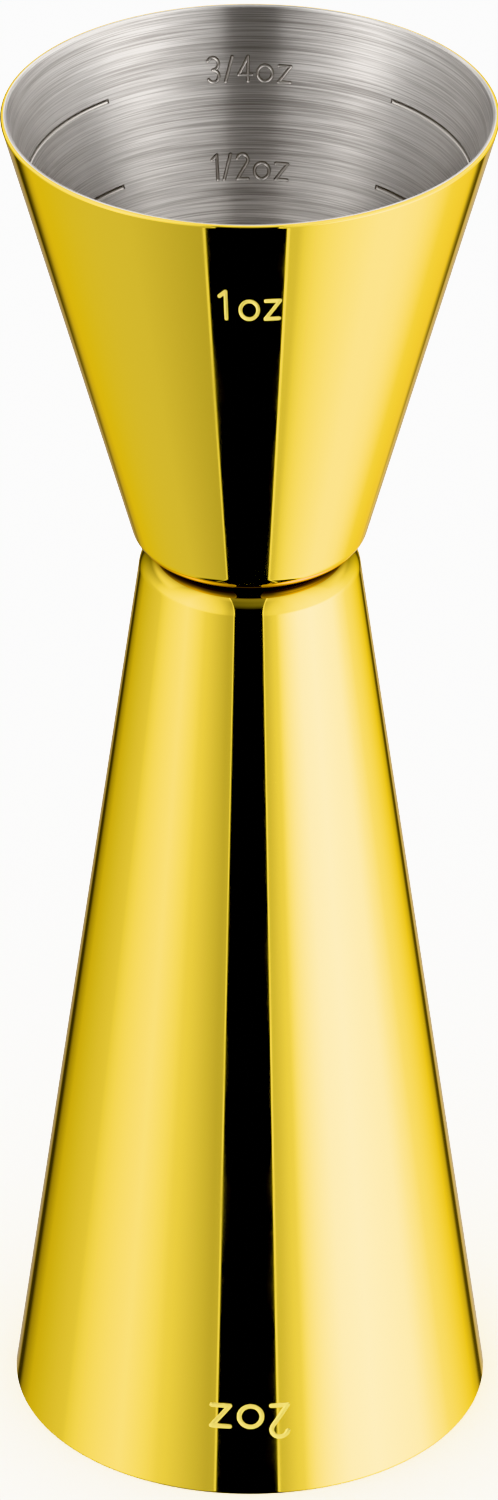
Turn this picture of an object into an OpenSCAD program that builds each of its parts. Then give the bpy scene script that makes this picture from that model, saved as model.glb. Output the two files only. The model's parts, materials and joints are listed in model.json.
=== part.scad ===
// Bar jigger: two drawn steel cups welded base to base.
// It stands on the rim of the two ounce cup, with the one ounce cup uppermost.
// Origin at the centre of the lower rim's plane, +Z up. Millimetres.

/* [Cups] */
// Outer diameter of both rims
rim_d = 42.2; // [40:0.1:46]
// Outside depth of the one ounce cup, base to rim
small_cup_h = 41.2; // [36:0.1:48]
// Outside depth of the two ounce cup, base to rim
large_cup_h = 84.8; // [76:0.1:94]
// Outer diameter of the one ounce cup's base, at the sharp corner
small_base_d = 19.4; // [18:0.1:22]
// Outer diameter of the two ounce cup's base, at the sharp corner
large_base_d = 18.6; // [18:0.1:22]

/* [Sheet] */
// Sheet thickness
wall = 0.6; // [0.55:0.05:0.8]
// Outer radius of the bend between base and wall
bend_r = 2.5; // [1.5:0.1:3]
// Radius ground on both edges of the rim
lip_r = 0.2; // [0.1:0.05:0.2]

/* [Measure lines] */
// Width of an engraved line
line_w = 0.5; // [0.3:0.05:0.8]
// Depth of an engraved line
line_depth = 0.1; // [0.05:0.05:0.2]
// Angle that the lines leave free behind the marks
line_gap = 80; // [60:5:120]

/* [Marks] */
// Height of the numerals outside
outer_mark_h = 3.5; // [2.5:0.1:4]
// Height of the numerals inside
inner_mark_h = 2.5; // [2:0.1:3]
// Engraved stroke, as a share of the numeral's height
pen_share = 0.11; // [0.08:0.01:0.14]
// Depth of the engraving
mark_depth = 0.1; // [0.05:0.05:0.2]
// Distance from the one ounce cup's rim to the middle of its outside mark
small_mark_drop = 8.5; // [5:0.1:12]
// Distance from the two ounce cup's rim to the middle of its outside mark
large_mark_drop = 7.1; // [5:0.1:12]

/* [Spot welds] */
// Number of weld nuggets between the bases
weld_count = 3; // [2:1:4]
// Diameter of a nugget
weld_d = 3.5; // [2:0.1:4]
// Height of a nugget, half of it in each base
weld_h = 0.7; // [0.4:0.1:0.8]
// Diameter of the circle that the nuggets stand on
weld_circle_d = 8; // [7:0.1:9]

/* [Hidden] */
$fn = 96;

gold = "#D9BF33";
steel = "#8E8B86";
waist_h = large_cup_h;
rim_r = rim_d / 2;
reach = 1;            // how far a cutting shape stands off the sheet
bite = 0.001;         // extra radius of a rounding arc, so that it crosses its sides at clean points
word_gap = 0.22;      // space between words, as a share of the numeral's height
letter_gap = 0.12;    // space between letters, as a share of the numeral's height
small_letter = 0.7;   // height of the letters o and z, as a share of the numeral's height

// Lean of a cup's wall from upright
function lean(base_d, depth) = atan((rim_d - base_d) / 2 / depth);

// Outer radius of the straight wall at height z above the cup's base
function outer_r(base_d, depth, z) = base_d / 2 + z * tan(lean(base_d, depth));

// Inner radius of the straight wall at height z
function inner_r(base_d, depth, z) = outer_r(base_d, depth, z) - wall / cos(lean(base_d, depth));

// Height above the base at which the cup holds this share of its brimful, from similar cones
function fill_h(base_d, depth, share) =
    let (slope = tan(lean(base_d, depth)),
         floor_r = inner_r(base_d, depth, wall),
         brim_r = inner_r(base_d, depth, depth))
    wall + (pow(floor_r ^ 3 + share * (brim_r ^ 3 - floor_r ^ 3), 1 / 3) - floor_r) / slope;

// Sliver between a sharp corner at p and an arc of radius r that meets both of its sides.
// The sides leave p at the angles a and b.
module corner_sliver(p, a, b, r) {
    half = (b - a) / 2;
    touch = r / tan(half);
    centre = p + r / sin(half) * [cos(a + half), sin(a + half)];
    difference() {
        polygon([p, p + touch * [cos(a), sin(a)], centre, p + touch * [cos(b), sin(b)]]);
        translate(centre) circle(r + bite);
    }
}

// Half section of a cup: flat base, bend and straight wall, rounded at both edges of the rim
module cup_section(base_d, depth) {
    tilt = lean(base_d, depth);
    floor_corner = [inner_r(base_d, depth, wall), wall];
    over = depth + reach;
    difference() {
        polygon([[0, 0], [base_d / 2, 0], [rim_r, depth], [0, depth]]);
        difference() {
            polygon([[0, wall], floor_corner, [inner_r(base_d, depth, over), over], [0, over]]);
            corner_sliver(floor_corner, 90 - tilt, 180, bend_r - wall);
        }
        corner_sliver([base_d / 2, 0], 90 - tilt, 180, bend_r);
        corner_sliver([rim_r, depth], 180, 270 - tilt, lip_r);
        corner_sliver([inner_r(base_d, depth, depth), depth], -90 - tilt, 0, lip_r);
    }
}

// Thin cone that hugs the wall, from depth d inside the metal to well clear of it
module outer_skin(base_d, depth, d) {
    cut = d / cos(lean(base_d, depth));
    low = outer_r(base_d, depth, bend_r);
    rotate_extrude()
        polygon([[low - cut, bend_r], [low + reach, bend_r], [rim_r + reach, depth], [rim_r - cut, depth]]);
}

module inner_skin(base_d, depth, d) {
    cut = d / cos(lean(base_d, depth));
    low = inner_r(base_d, depth, bend_r);
    top = inner_r(base_d, depth, depth);
    rotate_extrude()
        polygon([[low + cut, bend_r], [low - reach, bend_r], [top - reach, depth], [top + cut, depth]]);
}

// Part-round groove inside the wall at height z, open behind the marks
module measure_line(base_d, depth, z) {
    cut = line_depth / cos(lean(base_d, depth));
    low = inner_r(base_d, depth, z - line_w / 2);
    top = inner_r(base_d, depth, z + line_w / 2);
    rotate_extrude(angle = 360 - line_gap, start = 90 + line_gap / 2)
        translate([0, z - line_w / 2])
            polygon([[low + cut, 0], [low - reach, 0], [top - reach, line_w], [top + cut, line_w]]);
}

// Pen strokes. Every glyph stands on y = 0 with its left edge at x = 0.
module stroke(p, q, pen) {
    run = q - p;
    translate(p) circle(d = pen);
    translate(q) circle(d = pen);
    translate(p) rotate(atan2(run.y, run.x)) translate([0, -pen / 2]) square([norm(run), pen]);
}

module bow(centre, r, from, to, pen) {
    far = 2 * r;
    translate(centre) intersection() {
        difference() {
            circle(r + pen / 2);
            circle(r - pen / 2);
        }
        polygon([[0, 0], for (k = [0:4]) let (a = from + k * (to - from) / 4) far * [cos(a), sin(a)]]);
    }
    for (a = [from, to]) translate(centre + r * [cos(a), sin(a)]) circle(d = pen);
}

module numeral_one(h, pen) {
    x = 0.26 * h;
    stroke([x, pen / 2], [x, h - pen / 2], pen);
    stroke([x, h - pen / 2], [pen / 2, 0.78 * h], pen);
}

module numeral_two(h, pen) {
    r = 0.27 * h - pen / 2;
    centre = [r + pen / 2, h - r - pen / 2];
    turn = -38;
    bow(centre, r, turn, 165, pen);
    stroke(centre + r * [cos(turn), sin(turn)], [pen / 2, pen / 2], pen);
    stroke([pen / 2, pen / 2], [2 * r + pen / 2, pen / 2], pen);
}

module numeral_three(h, pen) {
    r = (h - pen) / 4;
    bow([r, pen / 2 + 3 * r], r, -90, 150, pen);
    bow([r, pen / 2 + r], r, -150, 90, pen);
}

module numeral_four(h, pen) {
    x = 0.42 * h;
    bar = 0.3 * h;
    stroke([x, pen / 2], [x, h - pen / 2], pen);
    stroke([x, h - pen / 2], [pen / 2, bar], pen);
    stroke([pen / 2, bar], [0.56 * h, bar], pen);
}

module fraction_bar(h, pen) {
    stroke([pen / 2, pen / 2], [0.34 * h, h - pen / 2], pen);
}

module letter_o(h, pen) {
    r = small_letter * h / 2;
    translate([r, r]) difference() {
        circle(r);
        circle(r - pen);
    }
}

module letter_z(h, pen) {
    low = pen / 2;
    top = small_letter * h - pen / 2;
    right = 0.52 * h;
    stroke([low, top], [right, top], pen);
    stroke([right, top], [low, low], pen);
    stroke([low, low], [right, low], pen);
}

// Width of a glyph, as a share of the numeral's height
function glyph_w(c) =
    c == "1" ? 0.32 : c == "2" ? 0.54 : c == "3" ? 0.5 : c == "4" ? 0.6 :
    c == "/" ? 0.4 : c == "o" ? small_letter : c == "z" ? 0.58 : word_gap - letter_gap;

// Left edge of glyph i, as a share of the numeral's height
function glyph_x(label, i) = i == 0 ? 0 : glyph_x(label, i - 1) + glyph_w(label[i - 1]) + letter_gap;

// A capacity mark centred on the origin
module mark(label, h) {
    pen = pen_share * h;
    count = len(label);
    width = h * (glyph_x(label, count - 1) + glyph_w(label[count - 1]));
    translate([-width / 2, -h / 2])
        for (i = [0:count - 1]) translate([h * glyph_x(label, i), 0]) {
            if (label[i] == "1") numeral_one(h, pen);
            if (label[i] == "2") numeral_two(h, pen);
            if (label[i] == "3") numeral_three(h, pen);
            if (label[i] == "4") numeral_four(h, pen);
            if (label[i] == "/") fraction_bar(h, pen);
            if (label[i] == "o") letter_o(h, pen);
            if (label[i] == "z") letter_z(h, pen);
        }
}

// The mark as a cutter through the front of the wall, read from outside
module outer_mark(base_d, depth, z, label) {
    intersection() {
        outer_skin(base_d, depth, mark_depth);
        translate([0, -outer_r(base_d, depth, z), z]) rotate([90 + lean(base_d, depth), 0, 0])
            linear_extrude(2 * reach, center = true) mark(label, outer_mark_h);
    }
}

// The mark as a cutter into the back of the wall, read through the open rim
module inner_mark(base_d, depth, z, label) {
    intersection() {
        inner_skin(base_d, depth, mark_depth);
        translate([0, inner_r(base_d, depth, z), z]) rotate([90 - lean(base_d, depth), 0, 0])
            linear_extrude(2 * reach, center = true) mark(label, inner_mark_h);
    }
}

// Weld nuggets, centred on the joint between the bases
module weld_nuggets() {
    for (i = [0:weld_count - 1])
        rotate(90 + i * 360 / weld_count) translate([weld_circle_d / 2, 0])
            cylinder(d = weld_d, h = weld_h, center = true);
}

// A cup standing on its base at z = 0. Each measure is a share of the brimful and its mark.
module cup(base_d, depth, mark_drop, label, measures) {
    difference() {
        rotate_extrude() cup_section(base_d, depth);
        weld_nuggets();
        outer_mark(base_d, depth, depth - mark_drop, label);
        for (m = measures) {
            z = fill_h(base_d, depth, m[0]);
            measure_line(base_d, depth, z);
            inner_mark(base_d, depth, z, m[1]);
        }
    }
}

module one_ounce_cup() {
    color(gold) translate([0, 0, waist_h])
        cup(small_base_d, small_cup_h, small_mark_drop, "1 oz", [[3 / 4, "3/4oz"], [1 / 2, "1/2oz"]]);
}

module two_ounce_cup() {
    color(gold) translate([0, 0, waist_h]) rotate([0, 180, 0])
        cup(large_base_d, large_cup_h, large_mark_drop, "2oz", [[3 / 4, "1 1/2oz"], [1 / 2, "1oz"]]);
}

module spot_welds() {
    color(steel) translate([0, 0, waist_h]) weld_nuggets();
}

one_ounce_cup();
two_ounce_cup();
spot_welds();
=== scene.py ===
import json
import math

import bmesh
import bpy
from mathutils import Matrix, Vector

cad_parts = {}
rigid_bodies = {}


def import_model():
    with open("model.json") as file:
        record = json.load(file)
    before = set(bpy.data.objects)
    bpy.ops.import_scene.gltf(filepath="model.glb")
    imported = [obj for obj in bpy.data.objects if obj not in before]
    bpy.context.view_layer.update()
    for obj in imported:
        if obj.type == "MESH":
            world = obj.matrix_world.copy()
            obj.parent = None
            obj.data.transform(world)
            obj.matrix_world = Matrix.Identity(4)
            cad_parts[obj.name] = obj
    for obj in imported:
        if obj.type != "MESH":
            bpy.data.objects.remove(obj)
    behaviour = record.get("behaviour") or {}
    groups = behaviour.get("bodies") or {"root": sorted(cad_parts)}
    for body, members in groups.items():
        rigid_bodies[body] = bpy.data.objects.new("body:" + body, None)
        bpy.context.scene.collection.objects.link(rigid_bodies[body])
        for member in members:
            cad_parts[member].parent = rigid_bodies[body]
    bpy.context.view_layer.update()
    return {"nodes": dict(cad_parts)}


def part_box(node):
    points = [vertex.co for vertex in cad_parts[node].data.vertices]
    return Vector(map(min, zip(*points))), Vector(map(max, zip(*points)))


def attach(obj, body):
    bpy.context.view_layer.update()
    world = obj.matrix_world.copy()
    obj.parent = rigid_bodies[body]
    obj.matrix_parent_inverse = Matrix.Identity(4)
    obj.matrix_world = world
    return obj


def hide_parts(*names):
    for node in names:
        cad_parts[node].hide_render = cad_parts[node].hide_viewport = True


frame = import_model()

# Bar jigger: two drawn steel cups, gold outside and bare brushed steel inside, welded base to base.
mm = 0.001
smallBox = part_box("one_ounce_cup")
waist = smallBox[0].z  # where the two bases meet
totalHeight = smallBox[1].z
scene = bpy.context.scene
scene.view_settings.view_transform = "Khronos PBR Neutral"
print("frame loaded: waist", round(waist / mm, 1), "mm, height", round(totalHeight / mm, 1), "mm")


def linearColour(hexValue):
    channels = [int(hexValue[i:i + 2], 16) / 255 for i in (1, 3, 5)]
    return [c / 12.92 if c <= 0.04045 else ((c + 0.055) / 1.055) ** 2.4 for c in channels] + [1]


def addNode(tree, kind, settings={}, links={}):
    node = tree.nodes.new(kind)
    for name, value in settings.items():
        if isinstance(name, str) and hasattr(node, name):
            setattr(node, name, value)
        else:
            node.inputs[name].default_value = value
    for name, source in links.items():
        tree.links.new(source, node.inputs[name])
    return node


def setStops(ramp, stops):
    elements = ramp.color_ramp.elements
    elements.remove(elements[1])
    for i, (place, level) in enumerate(stops):
        stop = elements[0] if i == 0 else elements.new(place)
        stop.position = place
        stop.color = (level, level, level, 1)


def newMaterial(name):
    material = bpy.data.materials.new(name)
    material.use_nodes = True
    material.node_tree.nodes.clear()
    return material, material.node_tree


# Titanium nitride gold on polished stainless steel: a mirror, with a faint haze from the polishing mop.
mirrorGoldLook = {
    "colour": "#EED152",
    "edgeColour": "#F4DC9C",  # at a glancing angle the nitride stays yellow
    "roughness": (0.025, 0.07),
    "hazeSize": 7.0,        # mm across a hazy patch
    "hazeSpread": (0.35, 0.7),  # noise levels at the clearest and the haziest spots
    "mopLineSize": 0.35,    # mm between faint mop lines, coarser than real so that they show
    "mopLineTurn": 0.9,     # radians that one line runs
    "mopLineDepth": 0.00035,  # mm
    "creaseShadeColour": "#54401A",  # painted shade: between the bases the gold is blended to dark brown, standing in for the shade and the dim gold-on-gold reflections in the crease
    "creaseShadeRadius": (8.5, 9.5),  # mm from the axis, where the painted shade is full and where it ends
}

# Stainless steel brushed on the lathe with an abrasive pad: grey, with long streaks round the cup.
brushedSteelLook = {
    "colour": "#D2CFCC",
    "darkColour": "#A39F9B",
    "roughness": (0.3, 0.42),
    "streakWidth": 0.13,    # mm, fine streaks
    "broadStreak": 7,       # fine streaks in the width of a broad one
    "fineWeight": 3,        # how much more the fine streaks count than the broad ones
    "streakSpread": (1.55, 2.45),   # weighed noise levels at the darkest and the palest spots
    "streakTurn": 0.6,      # radians that one streak runs
    "grooveDepth": 0.006,   # mm
    "glossTurn": 0.25,      # a quarter turn, so that highlights stretch across the streaks
}

# The same gold in the bottom of an engraved groove: the cutter leaves it matte, so it looks pale.
engravedGoldLook = {"colour": "#E8DC86", "roughness": 0.75, "grainSize": 0.12, "grainDepth": 0.004}

# Bare steel in the bottom of an engraved groove: a little shinier than the brushed wall, and painted
# darker than it as shade in the groove.
engravedSteelGrooveShadeLook = {"colour": "#A5A19C", "roughness": 0.28, "grainSize": 0.15, "grainDepth": 0.003}

# Fused steel of a resistance weld: dull grey, with a fine frozen ripple.
weldSteelLook = {"colour": "#8C8983", "darkColour": "#6E6B68", "roughness": (0.4, 0.6), "rippleSize": 0.4}


def objectMillimetres(tree):
    coords = addNode(tree, "ShaderNodeTexCoord")
    return addNode(tree, "ShaderNodeMapping", {"Scale": (1000, 1000, 1000)},
                   {"Vector": coords.outputs["Object"]}).outputs[0]


def acrossTheAxis(tree, place):
    return addNode(tree, "ShaderNodeVectorMath", {"operation": "MULTIPLY", 1: (1, 1, 0)},
                   {0: place}).outputs[0]


def axisDistance(tree, place):
    return addNode(tree, "ShaderNodeVectorMath", {"operation": "LENGTH"},
                   {0: acrossTheAxis(tree, place)}).outputs["Value"]


def roundTheCup(tree, turn, width):
    # a pattern that runs round the axis: slow along the turn, quick across it
    place = objectMillimetres(tree)
    heading = addNode(tree, "ShaderNodeVectorMath", {"operation": "NORMALIZE"},
                      {0: acrossTheAxis(tree, place)})
    slow = addNode(tree, "ShaderNodeVectorMath", {"operation": "SCALE", "Scale": 1 / turn},
                   {0: heading.outputs[0]})
    split = addNode(tree, "ShaderNodeSeparateXYZ", {}, {0: place})
    across = addNode(tree, "ShaderNodeMath", {"operation": "ADD"},
                     {0: split.outputs["Z"], 1: axisDistance(tree, place)})
    quick = addNode(tree, "ShaderNodeMath", {"operation": "DIVIDE", 1: width}, {0: across.outputs[0]})
    up = addNode(tree, "ShaderNodeCombineXYZ", {}, {"Z": quick.outputs[0]})
    return addNode(tree, "ShaderNodeVectorMath", {"operation": "ADD"},
                   {0: slow.outputs[0], 1: up.outputs[0]}).outputs[0]


def blend(tree, amount, first, second):
    return addNode(tree, "ShaderNodeMix",
                   {"data_type": "RGBA", 6: linearColour(first), 7: linearColour(second)},
                   {0: amount}).outputs[2]


def finishMaterial(tree, settings, links):
    shader = addNode(tree, "ShaderNodeBsdfPrincipled", settings, links)
    addNode(tree, "ShaderNodeOutputMaterial", {}, {"Surface": shader.outputs[0]})


def makeMirrorGold(look):
    material, tree = newMaterial("mirrorGoldNitride")
    place = objectMillimetres(tree)
    haze = addNode(tree, "ShaderNodeTexNoise",
                   {"Scale": 1 / look["hazeSize"], "Detail": 4, "Roughness": 0.6}, {"Vector": place})
    low, high = look["roughness"]
    clearest, haziest = look["hazeSpread"]
    rough = addNode(tree, "ShaderNodeMapRange",
                    {"From Min": clearest, "From Max": haziest, "To Min": low, "To Max": high},
                    {"Value": haze.outputs[0]})
    mop = addNode(tree, "ShaderNodeTexNoise", {"Scale": 1, "Detail": 2},
                  {"Vector": roundTheCup(tree, look["mopLineTurn"], look["mopLineSize"])})
    bump = addNode(tree, "ShaderNodeBump", {"Strength": 1, "Distance": look["mopLineDepth"] * mm},
                   {"Height": mop.outputs[0]})
    # painted shade: near the axis, in the crease between the bases, the gold is blended to brown
    near, far = look["creaseShadeRadius"]
    outsideCreaseShade = addNode(tree, "ShaderNodeMapRange", {"From Min": near, "From Max": far},
                    {"Value": axisDistance(tree, place)})
    colour = blend(tree, outsideCreaseShade.outputs[0], look["creaseShadeColour"], look["colour"])
    finishMaterial(tree, {"Metallic": 1, "Specular Tint": linearColour(look["edgeColour"])},
                   {"Base Color": colour, "Roughness": rough.outputs[0], "Normal": bump.outputs[0]})
    return material


def makeBrushedSteel(look):
    material, tree = newMaterial("brushedStainlessSteel")
    turn, width = look["streakTurn"], look["streakWidth"]
    fine = addNode(tree, "ShaderNodeTexNoise", {"Scale": 1, "Detail": 3, "Roughness": 0.6},
                   {"Vector": roundTheCup(tree, turn, width)})
    broad = addNode(tree, "ShaderNodeTexNoise", {"Scale": 1, "Detail": 2},
                    {"Vector": roundTheCup(tree, turn, width * look["broadStreak"])})
    both = addNode(tree, "ShaderNodeMath", {"operation": "MULTIPLY_ADD", 1: look["fineWeight"]},
                   {0: fine.outputs[0], 2: broad.outputs[0]})
    darkest, palest = look["streakSpread"]
    level = addNode(tree, "ShaderNodeMapRange", {"From Min": darkest, "From Max": palest},
                    {"Value": both.outputs[0]})
    colour = blend(tree, level.outputs[0], look["darkColour"], look["colour"])
    low, high = look["roughness"]
    rough = addNode(tree, "ShaderNodeMapRange", {"To Min": high, "To Max": low},
                    {"Value": level.outputs[0]})
    bump = addNode(tree, "ShaderNodeBump", {"Strength": 1, "Distance": look["grooveDepth"] * mm},
                   {"Height": fine.outputs[0]})
    finishMaterial(tree, {"Metallic": 1, "Anisotropic": 1, "Anisotropic Rotation": look["glossTurn"]},
                   {"Base Color": colour, "Roughness": rough.outputs[0], "Normal": bump.outputs[0]})
    return material


def makeEngraved(name, look):
    material, tree = newMaterial(name)
    grain = addNode(tree, "ShaderNodeTexNoise", {"Scale": 1 / look["grainSize"], "Detail": 2},
                    {"Vector": objectMillimetres(tree)})
    bump = addNode(tree, "ShaderNodeBump", {"Strength": 1, "Distance": look["grainDepth"] * mm},
                   {"Height": grain.outputs[0]})
    finishMaterial(tree, {"Base Color": linearColour(look["colour"]), "Metallic": 1,
                          "Roughness": look["roughness"]}, {"Normal": bump.outputs[0]})
    return material


def makeWeldSteel(look):
    material, tree = newMaterial("fusedWeldSteel")
    ripple = addNode(tree, "ShaderNodeTexNoise", {"Scale": 1 / look["rippleSize"], "Detail": 4},
                     {"Vector": objectMillimetres(tree)})
    colour = blend(tree, ripple.outputs[0], look["darkColour"], look["colour"])
    low, high = look["roughness"]
    rough = addNode(tree, "ShaderNodeMapRange", {"To Min": low, "To Max": high},
                    {"Value": ripple.outputs[0]})
    finishMaterial(tree, {"Metallic": 1}, {"Base Color": colour, "Roughness": rough.outputs[0]})
    return material


cupMaterials = [makeMirrorGold(mirrorGoldLook), makeBrushedSteel(brushedSteelLook),
                makeEngraved("engravedGoldNitride", engravedGoldLook),
                makeEngraved("engravedSteelGrooveShade", engravedSteelGrooveShadeLook)]
goldFace, steelFace, cutGoldFace, cutSteelFace = range(4)
print("materials made")


# The marks are drawn flat in round strokes, x to the right, y up and z out of the metal, then wrapped.
# Widths and gaps are shares of a numeral's height.
glyphWidths = {"1": 0.32, "2": 0.54, "3": 0.5, "4": 0.6, "/": 0.4, "o": 0.7, "z": 0.58, " ": 0.1}
letterGap = 0.12
smallLetter = 0.7  # height of an o or a z
marking = {
    "outsideHeight": 3.5,   # mm, numerals outside
    "outsidePen": 0.43,     # mm, width of a stroke
    "insideHeight": 2.5,
    "insidePen": 0.34,
    "insideWidth": 0.9,     # share of a glyph's full width
    "depth": 0.12,          # mm
    "penSides": 20,
    "penRings": 10,
    "bowStep": 15,          # degrees
}


def penBall(tools, point, radius):
    tools.append(bmesh.new())
    bmesh.ops.create_uvsphere(tools[-1], u_segments=marking["penSides"],
                              v_segments=marking["penRings"], radius=radius,
                              matrix=Matrix.Translation(point))


def penStroke(tools, points, radius):
    for point in points:
        penBall(tools, point, radius)
    for start, end in zip(points, points[1:]):
        run = end - start
        place = Matrix.Translation((start + end) / 2) @ run.to_track_quat("Z", "X").to_matrix().to_4x4()
        tools.append(bmesh.new())
        bmesh.ops.create_cone(tools[-1], cap_ends=True, segments=marking["penSides"], radius1=radius,
                              radius2=radius, depth=run.length, matrix=place)


def penBow(tools, centre, size, fromAngle, toAngle, radius):
    bm = bmesh.new()
    tools.append(bm)
    place = (Matrix.Translation(centre) @ Matrix.Rotation(math.radians(fromAngle), 4, "Z")
             @ Matrix.Translation((size, 0, 0)) @ Matrix.Rotation(math.radians(90), 4, "X"))
    bmesh.ops.create_circle(bm, cap_ends=False, segments=marking["penSides"], radius=radius, matrix=place)
    turn = toAngle - fromAngle
    bmesh.ops.spin(bm, geom=bm.verts[:] + bm.edges[:], cent=centre, axis=(0, 0, 1),
                   angle=math.radians(turn), steps=int(turn / marking["bowStep"]), use_merge=turn == 360)
    if turn < 360:
        bmesh.ops.holes_fill(bm, edges=bm.edges[:], sides=0)
        for angle in (fromAngle, toAngle):
            heading = Vector((math.cos(math.radians(angle)), math.sin(math.radians(angle)), 0))
            penBall(tools, centre + size * heading, radius)


def drawGlyph(tools, glyph, left, height, half, radius):
    # half is half a stroke's width, bare shares are of the numeral's height, and bows are in degrees

    def at(x, y):
        return Vector((left + x, y, 0))

    if glyph == "1":
        stem = 0.26 * height
        penStroke(tools, [at(stem, half), at(stem, height - half), at(half, 0.78 * height)], radius)
    if glyph == "2":
        size, hook = 0.27 * height - half, -38
        middle = at(size + half, height - size - half)
        bowEnd = middle + size * Vector((math.cos(math.radians(hook)), math.sin(math.radians(hook)), 0))
        penBow(tools, middle, size, hook, 165, radius)
        penStroke(tools, [bowEnd, at(half, half), at(2 * size + half, half)], radius)
    if glyph == "3":
        size = (height - 2 * half) / 4
        penBow(tools, at(size, half + 3 * size), size, -90, 150, radius)
        penBow(tools, at(size, half + size), size, -150, 90, radius)
    if glyph == "4":
        stem, bar, right = 0.42 * height, 0.3 * height, 0.56 * height
        penStroke(tools, [at(stem, half), at(stem, height - half), at(half, bar), at(right, bar)], radius)
    if glyph == "/":
        penStroke(tools, [at(half, half), at(0.34 * height, height - half)], radius)
    if glyph == "o":
        size = smallLetter * height / 2
        penBow(tools, at(size, size), size - half, 0, 360, radius)
    if glyph == "z":
        top, right = smallLetter * height - half, 0.52 * height
        penStroke(tools, [at(half, top), at(right, top), at(half, half), at(right, half)], radius)


def drawMark(label, height, pen, widthShare):
    # the round pen rides above the metal, so that it cuts to the depth and no wider than its stroke
    half = pen / 2
    radius = (half ** 2 + marking["depth"] ** 2) / (2 * marking["depth"])
    tools = []
    left = 0
    for glyph in label:
        drawGlyph(tools, glyph, left, height, half, radius)
        left += (glyphWidths[glyph] + letterGap) * height
    width = left - letterGap * height
    for bm in tools:
        bmesh.ops.translate(bm, vec=(-width / 2, -height / 2, radius - marking["depth"]), verts=bm.verts)
        bmesh.ops.scale(bm, vec=(widthShare, 1, 1), verts=bm.verts)
    return tools


cupSheet = {
    "rimDiameter": 42.2,    # mm, as are all the sizes here
    "wall": 0.6,
    "bendRadius": 2.5,      # outside, between base and wall
    "lipRadius": 0.2,       # ground on both edges of the rim
    "lineWidth": 0.42,
    "lineSides": ((0.06, 0.08), (0.1, 0.04)),  # width and fall of each slope of a measure line's side
    "lineGap": 80,          # degrees that a measure line leaves free for its mark
    "turnSteps": 360,
    "outerBendSteps": 16,
    "innerBendSteps": 14,
    "lipSteps": 6,
    "rowSpacing": 5.0,
    "lineClearance": 1.0,   # from a measure line to the next row
    "bendClearance": 0.3,   # from the bend to the first row
    "rimRows": (0.6, 0.9),  # below the rim
    "joinDistance": 1e-4,
    "cutTolerance": 1e-5,
}
# The fused spots between the bases leave round pockets in both of them
weldNuggets = {"count": 3, "diameter": 3.5, "height": 0.7, "circle": 8.0, "sides": 48}

smallCup = {
    "name": "oneOunceCup",
    "node": "one_ounce_cup",
    "baseDiameter": 19.4,
    "depth": (totalHeight - waist) / mm,
    "upsideDown": False,
    "outsideMark": "1 oz",
    "markDrop": 8.5,        # rim to the middle of the outside mark
    "markWidth": 0.74,      # share of a glyph's full width
    # share of the brimful at each line, and how far its mark stands above it
    "measures": {"3/4oz": (3 / 4, 0.8), "1/2oz": (1 / 2, 0)},
}
largeCup = {
    "name": "twoOunceCup",
    "node": "two_ounce_cup",
    "baseDiameter": 18.6,
    "depth": waist / mm,
    "upsideDown": True,
    "outsideMark": "2oz",
    "markDrop": 7.1,
    "markWidth": 1,
    "measures": {"1 1/2oz": (3 / 4, 0), "1oz": (1 / 2, 0)},
}


def leanOf(cup):
    return math.atan((cupSheet["rimDiameter"] - cup["baseDiameter"]) / 2 / cup["depth"])


def outerRadius(cup, height):
    return cup["baseDiameter"] / 2 + height * math.tan(leanOf(cup))


def innerRadius(cup, height):
    return outerRadius(cup, height) - cupSheet["wall"] / math.cos(leanOf(cup))


def fillHeight(cup, share):
    # similar cones: the volume grows with the cube of the radius at the brim
    floorRadius = innerRadius(cup, cupSheet["wall"])
    brimRadius = innerRadius(cup, cup["depth"])
    radius = (floorRadius ** 3 + share * (brimRadius ** 3 - floorRadius ** 3)) ** (1 / 3)
    return cupSheet["wall"] + (radius - floorRadius) / math.tan(leanOf(cup))


def rowHeights(cup):
    # rows hold the walls straight beside each bend, and frame each measure line with nothing else near it
    bend, depth, clearance = cupSheet["bendRadius"], cup["depth"], cupSheet["lineClearance"]
    lines = [fillHeight(cup, share) for share, rise in cup["measures"].values()]
    count = int((depth - 2 * bend) / cupSheet["rowSpacing"])
    even = [bend + (i + 1) * (depth - 2 * bend) / (count + 1) for i in range(count)]
    clear = [height for height in even if min(abs(height - line) for line in lines) > clearance]
    edges = [line + side * cupSheet["lineWidth"] / 2 for line in lines for side in (-1, 1)]
    ends = [bend + cupSheet["bendClearance"]] + [depth - drop for drop in cupSheet["rimRows"]]
    return ends + clear + edges


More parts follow.
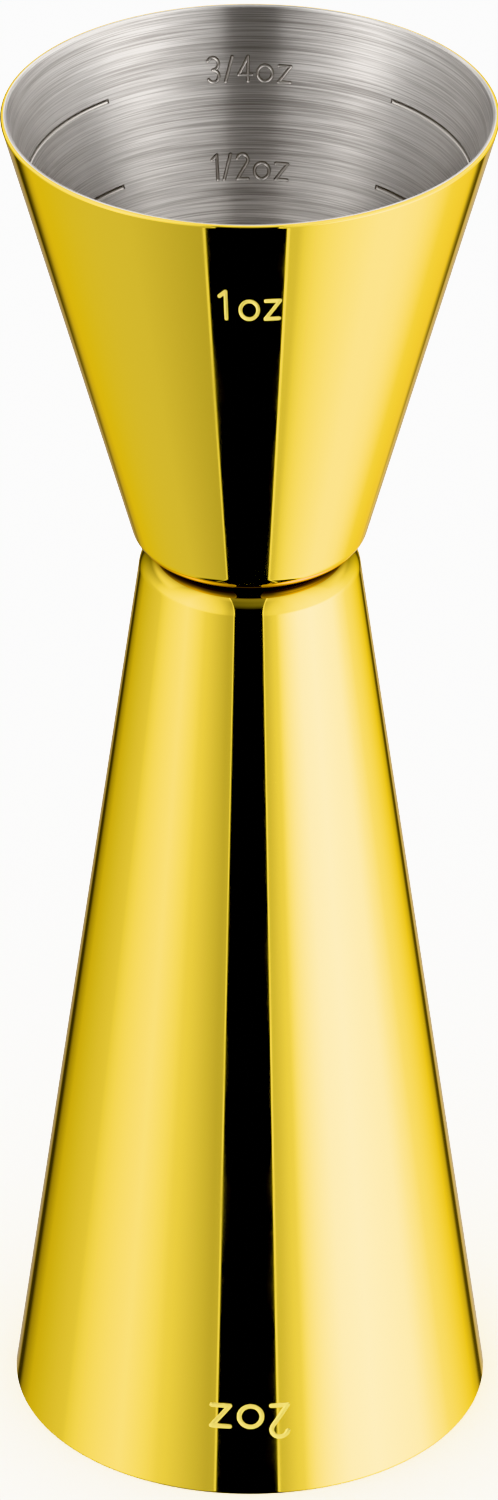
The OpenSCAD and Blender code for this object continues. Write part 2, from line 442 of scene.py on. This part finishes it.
def shapeSection(cup):
    # a few corners from the middle of the base round the wall and back, in the plane y = 0
    lean = leanOf(cup)
    depth, wall = cup["depth"], cupSheet["wall"]
    corners = [
        (0, 0),
        (cup["baseDiameter"] / 2, 0),
        (outerRadius(cup, depth), depth),
        ((outerRadius(cup, depth) + innerRadius(cup, depth)) / 2, depth),
        (innerRadius(cup, depth), depth),
        (innerRadius(cup, wall), wall),
        (0, wall),
    ]
    bm = bmesh.new()
    verts = [bm.verts.new((x, 0, z)) for x, z in corners]
    for a, b in zip(verts, verts[1:]):
        bm.edges.new((a, b))
    wide, narrow = math.radians(90) + lean, math.radians(90) - lean
    rounds = [
        (verts[1], cupSheet["bendRadius"], wide, cupSheet["outerBendSteps"]),
        (verts[2], cupSheet["lipRadius"], narrow, cupSheet["lipSteps"]),
        (verts[4], cupSheet["lipRadius"], wide, cupSheet["lipSteps"]),
        (verts[5], cupSheet["bendRadius"] - wall, wide, cupSheet["innerBendSteps"]),
    ]
    for vert, radius, angle, segments in rounds:
        bmesh.ops.bevel(bm, geom=[vert], offset=radius / math.tan(angle / 2), offset_type="OFFSET",
                        segments=segments, profile=0.5, affect="VERTICES", material=-1)
    for height in rowHeights(cup):
        bmesh.ops.bisect_plane(bm, geom=bm.verts[:] + bm.edges[:], dist=cupSheet["cutTolerance"],
                               plane_co=(0, 0, height), plane_no=(0, 0, 1))
    return bm


def spinCup(cup):
    bm = shapeSection(cup)
    bmesh.ops.spin(bm, geom=bm.verts[:] + bm.edges[:], cent=(0, 0, 0), axis=(0, 0, 1), angle=math.tau,
                   steps=cupSheet["turnSteps"], use_merge=True)
    bmesh.ops.remove_doubles(bm, verts=bm.verts, dist=cupSheet["joinDistance"])
    bmesh.ops.recalc_face_normals(bm, faces=bm.faces)
    for face in bm.faces:
        middle = face.calc_center_median()
        radius = math.hypot(middle.x, middle.y)
        midWall = (outerRadius(cup, middle.z) + innerRadius(cup, middle.z)) / 2
        facesUp = face.normal.z > 0.01
        face.material_index = steelFace if facesUp and radius < midWall else goldFace
    return bm


def cutMeasureLines(bm, cup):
    for share, rise in cup["measures"].values():
        middle = fillHeight(cup, share)
        strip = []
        for face in bm.faces:
            centre = face.calc_center_median()
            fromBack = math.degrees(abs(math.atan2(centre.x, centre.y)))
            if (face.material_index == steelFace and fromBack > cupSheet["lineGap"] / 2
                    and abs(centre.z - middle) < cupSheet["lineWidth"] / 2):
                strip.append(face)
        for width, fall in cupSheet["lineSides"]:
            slope = bmesh.ops.inset_region(bm, faces=strip, thickness=width, depth=-fall,
                                           use_boundary=True, use_even_offset=True)
            for face in slope["faces"] + strip:
                face.material_index = cutSteelFace


def wrapOutside(cup, height, vert):
    lean = leanOf(cup)
    u, v, w = vert.co
    radius = outerRadius(cup, height) + v * math.sin(lean) + w * math.cos(lean)
    angle = -math.pi / 2 + u / outerRadius(cup, height)
    vert.co = (radius * math.cos(angle), radius * math.sin(angle),
               height + v * math.cos(lean) - w * math.sin(lean))


def wrapInside(cup, height, vert):
    lean = leanOf(cup)
    u, v, w = vert.co
    radius = innerRadius(cup, height) + v * math.sin(lean) - w * math.cos(lean)
    angle = math.pi / 2 - u / innerRadius(cup, height)
    vert.co = (radius * math.cos(angle), radius * math.sin(angle),
               height + v * math.cos(lean) + w * math.sin(lean))


def makeObject(name, bm, materials, collection=scene.collection):
    mesh = bpy.data.meshes.new(name)
    bm.to_mesh(mesh)
    bm.free()
    for material in materials:
        mesh.materials.append(material)
    obj = bpy.data.objects.new(name, mesh)
    collection.objects.link(obj)
    return obj


def makeCutters(cup):
    # every shape that is taken out of the cup: its marks and the pockets that the welds fused
    markHeight = cup["depth"] - cup["markDrop"]
    outside = (marking["outsideHeight"], marking["outsidePen"], cup["markWidth"])
    inside = (marking["insideHeight"], marking["insidePen"], marking["insideWidth"])
    jobs = [(cup["outsideMark"], outside, markHeight, wrapOutside, cutGoldFace)]
    for label, (share, rise) in cup["measures"].items():
        jobs.append((label, inside, fillHeight(cup, share) + rise, wrapInside, cutSteelFace))
    tools = []
    for label, hand, height, wrap, material in jobs:
        for bm in drawMark(label, *hand):
            for vert in bm.verts:
                wrap(cup, height, vert)
            tools.append((bm, material))
    for i in range(weldNuggets["count"]):
        angle = math.radians(90 + i * 360 / weldNuggets["count"])
        spot = Vector((math.cos(angle), math.sin(angle), 0)) * weldNuggets["circle"] / 2
        bm = bmesh.new()
        bmesh.ops.create_cone(bm, cap_ends=True, segments=weldNuggets["sides"],
                              radius1=weldNuggets["diameter"] / 2, radius2=weldNuggets["diameter"] / 2,
                              depth=weldNuggets["height"], matrix=Matrix.Translation(spot))
        tools.append((bm, cutSteelFace))
    tray = bpy.data.collections.new("cutters")
    scene.collection.children.link(tray)
    for bm, material in tools:
        bm.normal_update()
        bmesh.ops.recalc_face_normals(bm, faces=bm.faces)
        for face in bm.faces:
            face.material_index = material
        makeObject("cutter", bm, cupMaterials, tray)
    return tray


def applyModifiers(obj):
    # the finished mesh takes the place of the one that the modifiers worked on
    evaluated = obj.evaluated_get(bpy.context.evaluated_depsgraph_get())
    finished = bpy.data.meshes.new_from_object(evaluated)
    old = obj.data
    obj.modifiers.clear()
    obj.data = finished
    bpy.data.meshes.remove(old)


shading = {
    "sharpAngle": 30,       # degrees between faces that meet at a crisp edge
    "wallReach": 0.004,     # mm that a corner may lie off the cone and still count as the wall's
    "wallAgreement": 0.985,  # least cosine between the wall's own normal and a face that belongs to it
    "baseHeight": 1.0,      # mm, the walls are above this
}


def smoothWalls(obj, cup):
    # smooth shading with crisp groove edges, and the cone's own normals wherever the wall is left whole
    bm = bmesh.new()
    bm.from_mesh(obj.data)
    for face in bm.faces:
        face.smooth = True
    sharp = math.radians(shading["sharpAngle"])
    for edge in bm.edges:
        edge.smooth = len(edge.link_faces) == 2 and edge.calc_face_angle() < sharp
    bm.to_mesh(obj.data)
    bm.free()
    mesh = obj.data
    lean = leanOf(cup)
    normals = []
    for polygon in mesh.polygons:
        for index in polygon.vertices:
            x, y, z = mesh.vertices[index].co
            radius = math.hypot(x, y)
            chosen = Vector((0, 0, 0))
            if shading["baseHeight"] < z < cup["depth"]:
                flat = math.cos(lean) / radius
                outward = Vector((x * flat, y * flat, -math.sin(lean)))
                sides = ((outerRadius(cup, z), outward), (innerRadius(cup, z), -outward))
                for wallRadius, normal in sides:
                    onWall = abs(radius - wallRadius) < shading["wallReach"]
                    if onWall and polygon.normal.dot(normal) > shading["wallAgreement"]:
                        chosen = normal
            normals.append(chosen)
    mesh.normals_split_custom_set(normals)


def makeCup(cup):
    bm = spinCup(cup)
    cutMeasureLines(bm, cup)
    obj = makeObject(cup["name"], bm, cupMaterials)
    tray = makeCutters(cup)
    cut = obj.modifiers.new("engrave", "BOOLEAN")
    cut.operation = "DIFFERENCE"
    cut.solver = "MANIFOLD"
    cut.material_mode = "INDEX"
    cut.operand_type = "COLLECTION"
    cut.collection = tray
    applyModifiers(obj)
    for cutter in list(tray.objects):
        bpy.data.meshes.remove(cutter.data)
    bpy.data.collections.remove(tray)
    smoothWalls(obj, cup)
    place = Matrix.Translation((0, 0, waist)) @ Matrix.Scale(mm, 4)
    if cup["upsideDown"]:
        place = place @ Matrix.Rotation(math.pi, 4, "Y")
    obj.data.transform(place)
    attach(obj, "root")
    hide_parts(cup["node"])
    print("made", cup["name"], len(obj.data.polygons), "faces")


for cup in (smallCup, largeCup):
    makeCup(cup)

welds = frame["nodes"]["spot_welds"]
welds.data.materials.clear()
welds.data.materials.append(makeWeldSteel(weldSteelLook))


studio = {
    "tentRadius": 5.0,      # m
    "floorSize": 12.0,      # m
    "floorColour": "#F7F7F7",
    "roomLight": 2.8,
    "brightest": 8.0,       # level at which the ramps below reach white
    "slotHalfWidth": 0.233,  # dark slot that the lens looks through, as a share of the tent's radius
    "slotCentre": -0.02,    # the slot hangs a little to the lens's left
    "slotSoftness": 0.003,  # on each side of its edge
    "frontSlotGlow": 0.35,  # light left in the slot overhead and behind, as a share of the cloth's
    "backSlotGlow": 0.75,
    "hemWidth": 0.015,
    "hemSoftness": 0.005,
    "hemGlow": 0.8,         # extra share of light
    # where one zone of the tent fades into the next, from -1 at the bottom to 1 at the top
    "lowStart": (-0.59, -0.53),
    "levelStart": (-0.2, -0.05),
    "skyStartInFront": (0.7, 0.9),
    "skyStartBehind": (0.25, 0.45),
    "slotStartBehind": (0.25, 0.35),
    "slotDimsInFront": (0.35, 0.7),
    "clothStart": (-0.94, -0.9),
    "middle": (-0.05, 0.05),  # from the front half to the back half
}

# Light on the tent's cloth by heading in degrees: 0 is behind the lens, positive to its right
steepCloth = [(-180, 0.25), (-174, 0.2), (-171, 0.05), (-165, 0.05), (-162, 0.5), (-140, 0.88), (-75, 0.8),
              (-30, 0.6), (30, 0.85), (50, 1.8), (80, 3.2), (92, 3.3), (106, 2.9), (128, 1.4), (156, 1.2),
              (162, 1.8), (165, 0.05), (171, 0.05), (174, 0.25), (180, 0.25)]
lowCloth = [(-180, 0.5), (-160, 0.5), (-157, 0.05), (-151, 0.05), (-146, 0.4), (-134, 0.75), (-100, 0.95),
            (-64, 2.3), (-44, 1.1), (-20, 0.65), (16, 0.8), (26, 1.15), (48, 6.6), (62, 7.8), (88, 5.9),
            (98, 3.6), (110, 2.0), (138, 1.1), (147, 0.7), (151, 0.1), (156, 0.1), (159, 0.8), (180, 0.5)]
levelCloth = [(-180, 0.5), (-160, 0.5), (-157, 0.05), (-151, 0.05), (-146, 0.4), (-134, 0.75),
              (-105, 1.1), (-80, 2.2), (-62, 3.0), (-38, 1.6), (-20, 0.75), (16, 0.95), (34, 1.7),
              (48, 2.8), (66, 3.5), (92, 2.8), (112, 1.6), (138, 1.1), (147, 0.7), (151, 0.1),
              (156, 0.1), (159, 0.8), (180, 0.5)]
skyCloth = [(-180, 2.1), (-120, 2.3), (-60, 2.0), (0, 1.8), (60, 2.1), (120, 2.4), (180, 2.3)]


def makeTent():
    material, tree = newMaterial("tentCloth")

    def calculate(operation, first, second):
        node = addNode(tree, "ShaderNodeMath", {"operation": operation})
        for i, value in enumerate((first, second)):
            if isinstance(value, (int, float)):
                node.inputs[i].default_value = value
            else:
                tree.links.new(value, node.inputs[i])
        return node.outputs[0]

    def rise(value, zone):
        return addNode(tree, "ShaderNodeMapRange",
                       {"interpolation_type": "SMOOTHSTEP", "From Min": zone[0], "From Max": zone[1]},
                       {"Value": value}).outputs[0]

    def fade(amount, first, second):
        return addNode(tree, "ShaderNodeMix", {"data_type": "RGBA"},
                       {0: amount, 6: first, 7: second}).outputs[2]

    coords = addNode(tree, "ShaderNodeTexCoord")
    heading = addNode(tree, "ShaderNodeVectorMath", {"operation": "NORMALIZE"},
                      {0: coords.outputs["Object"]})
    x, y, z = addNode(tree, "ShaderNodeSeparateXYZ", {}, {0: heading.outputs[0]}).outputs
    turn = calculate("DIVIDE", calculate("ARCTAN2", x, calculate("MULTIPLY", y, -1)), math.tau)
    share = calculate("ADD", turn, 0.5)
    cloths = []
    for stops in (steepCloth, lowCloth, levelCloth, skyCloth):
        ramp = addNode(tree, "ShaderNodeValToRGB", {}, {0: share})
        setStops(ramp, [((degrees + 180) / 360, level / studio["brightest"]) for degrees, level in stops])
        cloths.append(ramp.outputs[0])
    steep, low, level, sky = cloths
    behind = rise(y, studio["middle"])
    skyBehind = calculate("MULTIPLY", behind, rise(z, studio["skyStartBehind"]))
    skyShare = calculate("MAXIMUM", skyBehind, rise(z, studio["skyStartInFront"]))
    cloth = fade(rise(z, studio["lowStart"]), steep, low)
    cloth = fade(rise(z, studio["levelStart"]), cloth, level)
    cloth = fade(skyShare, cloth, sky)

    # the slot is dark in front, dim overhead, and closed low down behind
    edge, soft = studio["slotHalfWidth"], studio["slotSoftness"]
    aside = calculate("ABSOLUTE", calculate("SUBTRACT", x, studio["slotCentre"]), 0)
    beside = rise(aside, (edge - soft, edge + soft))
    openPart = calculate("MAXIMUM", calculate("SUBTRACT", 1, behind), rise(z, studio["slotStartBehind"]))
    closed = calculate("MAXIMUM", beside, calculate("SUBTRACT", 1, openPart))
    overhead = calculate("MULTIPLY", rise(z, studio["slotDimsInFront"]), studio["frontSlotGlow"])
    dim = calculate("MAXIMUM", overhead, calculate("MULTIPLY", behind, studio["backSlotGlow"]))
    closed = calculate("MAXIMUM", closed, dim)
    closed = calculate("MULTIPLY", closed, rise(z, studio["clothStart"]))

    # the slot's hem catches a little more light
    outer, fray = edge + studio["hemWidth"], studio["hemSoftness"]
    hem = calculate("SUBTRACT", beside, rise(aside, (outer - fray, outer + fray)))
    hem = calculate("MULTIPLY", hem, calculate("SUBTRACT", 1, behind))
    amount = calculate("ADD", closed, calculate("MULTIPLY", hem, studio["hemGlow"]))
    strength = calculate("MULTIPLY", amount, studio["brightest"])
    glow = addNode(tree, "ShaderNodeEmission", {}, {"Color": cloth, "Strength": strength})
    addNode(tree, "ShaderNodeOutputMaterial", {}, {"Surface": glow.outputs[0]})
    material.cycles.emission_sampling = "NONE"

    # only reflections see the tent; the room light does the rest
    bm = bmesh.new()
    bmesh.ops.create_uvsphere(bm, u_segments=64, v_segments=32, radius=studio["tentRadius"])
    tent = makeObject("lightTent", bm, [material])
    tent.visible_camera = False
    tent.visible_diffuse = False
    tent.visible_transmission = False
    tent.visible_volume_scatter = False
    tent.visible_shadow = False


def makeFloor():
    bm = bmesh.new()
    bmesh.ops.create_grid(bm, x_segments=8, y_segments=8, size=studio["floorSize"] / 2)
    material, tree = newMaterial("paleMattePaper")
    finishMaterial(tree, {"Base Color": linearColour(studio["floorColour"]), "Roughness": 0.9,
                          "Specular IOR Level": 0.0}, {})
    floor = makeObject("floor", bm, [material])
    floor.visible_glossy = False


def makeRoomLight():
    world = bpy.data.worlds.new("studioRoom")
    scene.world = world
    world.use_nodes = True
    world.node_tree.nodes.clear()
    glow = addNode(world.node_tree, "ShaderNodeBackground",
                   {"Color": (1, 1, 1, 1), "Strength": studio["roomLight"]})
    addNode(world.node_tree, "ShaderNodeOutputWorld", {}, {"Surface": glow.outputs[0]})


makeTent()
makeFloor()
makeRoomLight()
print("studio made")


camera = {
    "aside": -0.0006,       # of the axis, in heights of the object
    "distance": 6.152,      # in front of the axis, in heights of the object
    "height": 4.076,        # of the lens above the floor, in heights of the object
    "downward": 30.113,     # degrees below level that it looks
    "lens": 246.7,          # mm
    "sensor": 36,           # mm
    "clip": (0.01, 20),     # m
}
lensObject = bpy.data.objects.new("camera", bpy.data.cameras.new("camera"))
scene.collection.objects.link(lensObject)
standpoint = Vector((camera["aside"], -camera["distance"], camera["height"]))
lensObject.location = standpoint * totalHeight
lensObject.rotation_euler = (math.radians(90 - camera["downward"]), 0, 0)
lensObject.data.sensor_width = camera["sensor"]
lensObject.data.lens = camera["lens"]
lensObject.data.clip_start, lensObject.data.clip_end = camera["clip"]
scene.camera = lensObject
print("camera placed")
